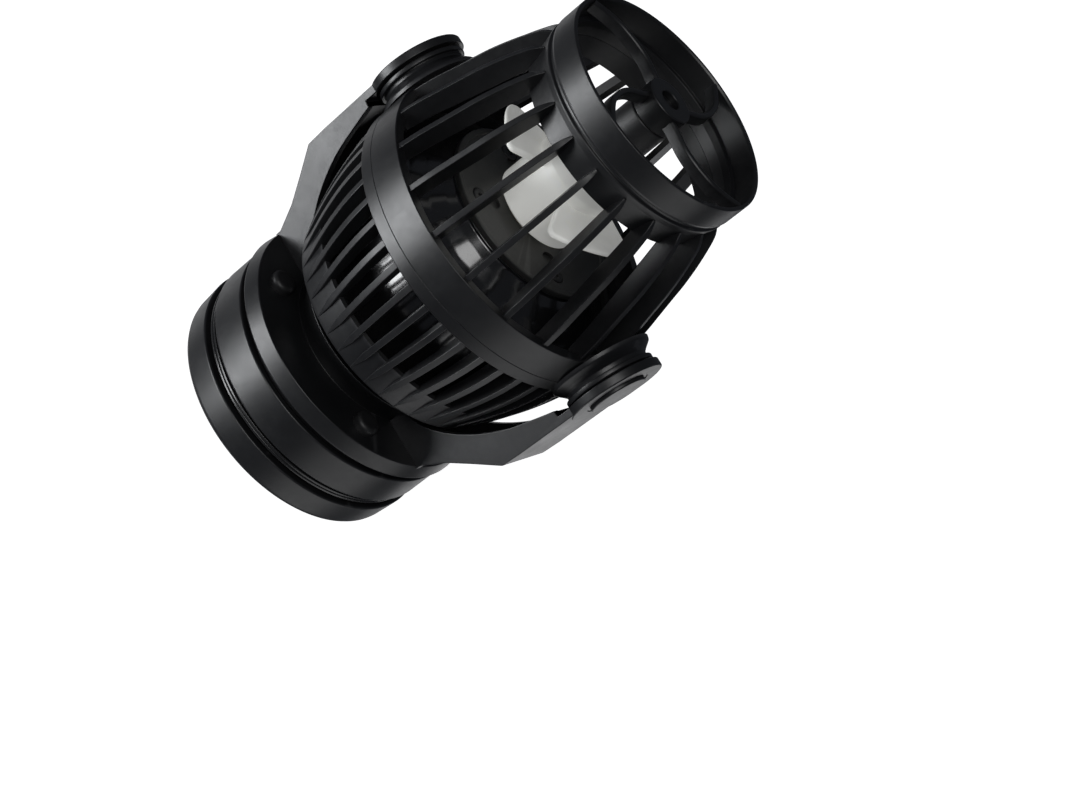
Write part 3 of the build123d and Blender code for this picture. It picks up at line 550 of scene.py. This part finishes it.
# ------------------------------------------------------------------ rear cage
rear_outer = [(39.5, 74.0), (38.6, 66.0), (36.9, 58.0), (34.7, 50.5), (32.9, 45.5), (31.3, 41.5)]
rear_inner = [(35.4, 74.0), (34.6, 64.0), (33.4, 57.0), (32.5, 51.4), (31.3, 46.5), (30.2, 41.7)]
parts = [
    lathe_data(round_pts([(35.6, 72.6, 0.3), (39.2, 72.6, 0.3), (40.0, 73.2, 0.25), (40.0, 76.45, 0.12), (37.42, 76.45), (37.42, 80.4), (35.8, 80.4), (35.8, 74.2), (34.2, 74.2), (34.2, 72.6)]), seg),
    lathe_data([(0, 34.6)] + [tuple(p) for p in spline([(14.0, 35.0), (20.0, 36.1), (25.6, 38.0), (31.2, 41.4)], 16)] + [tuple(p) for p in spline([(31.35, 41.7), (32.4, 45.5), (33.9, 51.5)], 12)]
               + [(32.4, 51.5), (31.0, 46.2), (29.7, 42.7), (25.0, 40.2), (19.5, 38.3), (0, 37.0)], seg),
]
rv, rf = rib_data(rear_outer, rear_inner, lambda t: 1.6 if t < 0.8 else 1.6 - 1.3 * ((t - 0.8) / 0.2), n=60, corner=0.16)
for k in range(42):
    parts.append((rotz(rv, -89.6 + 360 / 42 * k), rf))
parts.append(lathe_data(round_pts([(3.6, 33.5), (5.4, 33.5), (5.4, 40.3, 0.5), (3.6, 40.3, 0.3)]), 64, frame3=yaxis_frame(0, 66)))
piece("cage_rear", merge(*parts), "rear_cage", M["black_satin"])

# ------------------------------------------------------------------ motor
piece("motor_can", lathe_data(round_pts([
    (0, 47.0), (13.6, 47.0), (13.6, 82.0), (21.4, 82.0), (21.4, 45.6), (23.2, 45.6), (23.2, 80.6), (25.4, 80.6), (31.2, 75.6), (31.2, 74.3), (35.5, 74.3, 0.2), (35.5, 76.3, 0.4), (33.2, 76.3, 1.0), (30.2, 78.1, 6.0), (27.4, 80.6, 6.0), (25.0, 83.5, 5.0), (23.2, 85.3, 1.0),
    (23.2, 86.0, 0.3), (12.4, 86.0, 0.3), (12.4, 51.5), (4.0, 51.5), (4.0, 48.4), (0, 48.4)]), seg), "motor_housing", M["black_gloss"])
fc = tmp_obj(lathe_data(round_pts([(8.2, 86.02), (23.2, 86.02), (23.6, 86.4, 0.2), (23.6, 87.8, 0.3), (22.3, 87.8, 0.25), (22.0, 87.45, 0.1), (8.2, 87.45, 0.15)]), 192))
for k in range(4):
    a = math.radians(70 + 90 * k)
    fc = boolean(fc, tmp_obj(lathe_data([(0, 86.85), (2.5, 86.85), (2.5, 90), (0, 90)], 48, frame3=at(17.6 * math.cos(a), 17.6 * math.sin(a), 0))))
    a += math.pi / 2
    fc = boolean(fc, tmp_obj(lathe_data([(0, 86.6), (2.3, 86.6), (2.3, 90), (0, 90)], 40, frame3=at(13.6 * math.cos(a), 13.6 * math.sin(a), 0))))
piece("motor_cap", take(fc), "motor_front_cap", M["cap_grey"], 30.0)
parts = []
for k in range(4):
    a = math.radians(70 + 90 * k)
    parts.append(lathe_data(round_pts([(0, 83.4), (1.1, 83.4), (1.1, 86.85), (2.2, 86.85, 0.1), (2.2, 87.65, 0.3), (1.0, 87.65, 0.1), (0.95, 87.15), (0, 87.15)]), 40, frame3=at(17.6 * math.cos(a), 17.6 * math.sin(a), 0)))
piece("cap_screw_set", merge(*parts), "cap_screws", M["black_face"])

# ------------------------------------------------------------------ propeller and rotor
parts = [lathe_data(round_pts([
    (5.0, 89.02), (11.3, 89.02, 0.6), (11.3, 104.5, 2.0), (10.6, 107.2, 2.0), (8.6, 109.3, 2.0), (6.2, 110.2, 0.5), (2.05, 110.2), (2.05, 91.52), (5.0, 91.52)]), 160)]


def blade_data(az, span=33.0, tip=22.4, pitch=9.0, z0=101.9, t=1.8):
    """A wide, nearly flat blade with rounded outer corners and rounded edges."""
    h = math.radians(span)
    arc = [(tip * math.cos(a), tip * math.sin(a)) for a in np.linspace(-h + 0.2, h - 0.2, 30)]
    poly = [(6.0, 5.6), (6.0, -5.6)] + round_pts([(6.0, -5.6), (tip * math.cos(h), -tip * math.sin(h), 4.5), arc[0]], 8, closed=False)[1:-1]
    poly += arc + round_pts([arc[-1], (tip * math.cos(h), tip * math.sin(h), 4.5), (6.0, 5.6)], 8, closed=False)[1:-1]
    v, f = take(bevel_tmp(tmp_obj(prism_bm(poly, -t / 2, t / 2)), 0.7, 4, 50.0))
    c, p = math.radians(az), math.radians(pitch)
    X = Vector((math.cos(c), math.sin(c), 0))
    T = Vector((-math.sin(c), math.cos(c), 0))
    Y = T * math.cos(p) + Vector((0, 0, 1)) * math.sin(p)
    Z = X.cross(Y)
    out = []
    for a, th, b in v:
        w = th * (1.15 - 0.45 * max(0.0, (a - 9) / 13.4)) - 0.012 * (b * b) + 0.5 * (1 - min(1.0, a / 20.0))
        out.append(tuple(Vector((0, 0, z0)) + X * a + Y * b + Z * w))
    return out, f


BLADES = 3
for k in range(BLADES):
    parts.append(blade_data(-28 + 360 / BLADES * k))
piece("impeller", merge(*parts), "propeller", M["prop_grey"], 50.0)
piece("spinner_nut", lathe_data(round_pts([(2.05, 110.22), (6.0, 110.22, 0.2), (6.0, 126.6, 0.4), (2.05, 126.6)]), 96), "propeller_nut", M["black_face"])

# ------------------------------------------------------------------ cable
piece("gland", lathe_data(round_pts([(2.55, 31.0), (3.55, 31.0), (3.55, 40.4), (4.8, 40.4, 0.3), (4.8, 41.8, 0.3), (4.0, 41.8, 0.1), (3.9, 42.6, 0.2), (3.6, 42.7, 0.1), (3.6, 43.2, 0.1), (3.75, 43.3, 0.1), (3.6, 44.4, 0.3), (2.55, 44.4, 0.2)]), 64, frame3=yaxis_frame(0, 66)),
      "cable_gland", M["seal_rubber"])
piece("cable_stub", lathe_data(round_pts([(0, 21.6), (2.5, 21.6), (2.5, 46.0, 0.25), (1.9, 46.0, 0.05), (1.9, 45.8), (0, 45.8)]), 64, frame3=yaxis_frame(0, 66)), "power_cable", M["cable_jacket"])

# ------------------------------------------------------------------ camera
TH, AL, S, F = math.radians(36.94), math.radians(30.53), 3.977, 2441.4
a = np.array([math.cos(TH) * math.cos(AL), math.sin(TH) * math.cos(AL), math.sin(AL)])
x = np.array([math.sin(TH), -math.cos(TH), 0.0])
y = np.cross(a, x)
R = np.stack([x, y, a], 1)
c, s = math.cos(math.radians(-11)), math.sin(math.radians(-11))
R = R @ np.array([[c, -s, 0], [s, c, 0], [0, 0, 1]])
t = np.array([(293.0 - 540) / S, -(406.0 - 398.5) / S, -F / S])
loc = -R.T @ t
cam = bpy.data.cameras.new("cam")
cam.sensor_fit, cam.sensor_width, cam.lens = "HORIZONTAL", 36.0, F / 1080 * 36.0
cam.clip_start, cam.clip_end = 0.01, 50.0
co = bpy.data.objects.new("cam", cam)
bpy.context.scene.collection.objects.link(co)
mw = np.eye(4)
mw[:3, :3] = R.T
mw[:3, 3] = loc * MM
co.matrix_world = Matrix([list(map(float, row)) for row in mw])
bpy.context.scene.camera = co
RIGHT, UP, BACK = Vector(R[0]), Vector(R[1]), Vector(R[2])

# ------------------------------------------------------------------ stage
bm = bmesh.new()
bmesh.ops.create_circle(bm, cap_ends=True, radius=60.0, segments=96)
me = bpy.data.meshes.new("floor")
bm.to_mesh(me)
bm.free()
floor = bpy.data.objects.new("floor", me)
bpy.context.scene.collection.objects.link(floor)
floor.location.z = -0.0002
fm, nt, b = new_mat("floor_white")
b.inputs["Base Color"].default_value = (0.9, 0.9, 0.9, 1)
b.inputs["Roughness"].default_value = 0.9
b.inputs["Specular IOR Level"].default_value = 0.1
b.inputs["Emission Color"].default_value = (1, 1, 1, 1)
b.inputs["Emission Strength"].default_value = 1.0
floor.data.materials.append(fm)
floor.visible_diffuse = floor.visible_glossy = floor.visible_transmission = floor.visible_shadow = False

w = bpy.data.worlds.new("studio")
bpy.context.scene.world = w
w.use_nodes = True
nt = w.node_tree
nt.nodes.clear()
out = nt.nodes.new("ShaderNodeOutputWorld")
lp = nt.nodes.new("ShaderNodeLightPath")
b1, b2, mx = nt.nodes.new("ShaderNodeBackground"), nt.nodes.new("ShaderNodeBackground"), nt.nodes.new("ShaderNodeMixShader")
b1.inputs[0].default_value = (0.8, 0.86, 1.0, 1)
b1.inputs[1].default_value = 0.075
b2.inputs[0].default_value = (1, 1, 1, 1)
b2.inputs[1].default_value = 1.0
nt.links.new(lp.outputs["Is Camera Ray"], mx.inputs[0])
nt.links.new(b1.outputs[0], mx.inputs[1])
nt.links.new(b2.outputs[0], mx.inputs[2])
nt.links.new(mx.outputs[0], out.inputs[0])

CEN = Vector((0, 0, 0.066))


def soft(name, d, dist, size_x, size_y, power, col=(1, 1, 1), up=None, lift=0.0):
    L = bpy.data.lights.new(name, "AREA")
    L.shape, L.size, L.size_y, L.energy, L.color = "RECTANGLE", size_x, size_y, power, col
    o = bpy.data.objects.new(name, L)
    bpy.context.scene.collection.objects.link(o)
    d = Vector(d).normalized()
    z = d
    u = Vector(up if up is not None else UP)
    xx = u.cross(z).normalized()
    yy = z.cross(xx)
    mt = Matrix((xx, yy, z)).transposed().to_4x4()
    mt.translation = CEN + Vector((0, 0, lift)) + d * dist
    o.matrix_world = mt
    o.visible_camera = False
    return o


def cdir(r, u, b):
    return RIGHT * r + UP * u + BACK * b


soft("key", cdir(-0.965, 0.06, 0.25), 0.6, 0.22, 0.34, 2.9, (0.96, 0.98, 1.0), lift=0.03)
soft("rear", cdir(-0.35, 0.12, -0.93), 0.8, 1.0, 0.8, 1.3)
soft("rear_low", cdir(0.24, -0.40, -0.88), 0.8, 0.3, 0.3, 0.25)
soft("low", cdir(0.02, -0.99, -0.1), 0.6, 0.6, 0.4, 0.75)
soft("front", cdir(0.1, 0.15, 1.0), 1.0, 0.5, 0.5, 3.4)

vs = bpy.context.scene.view_settings
vs.view_transform = "Standard"
vs.look = "None"
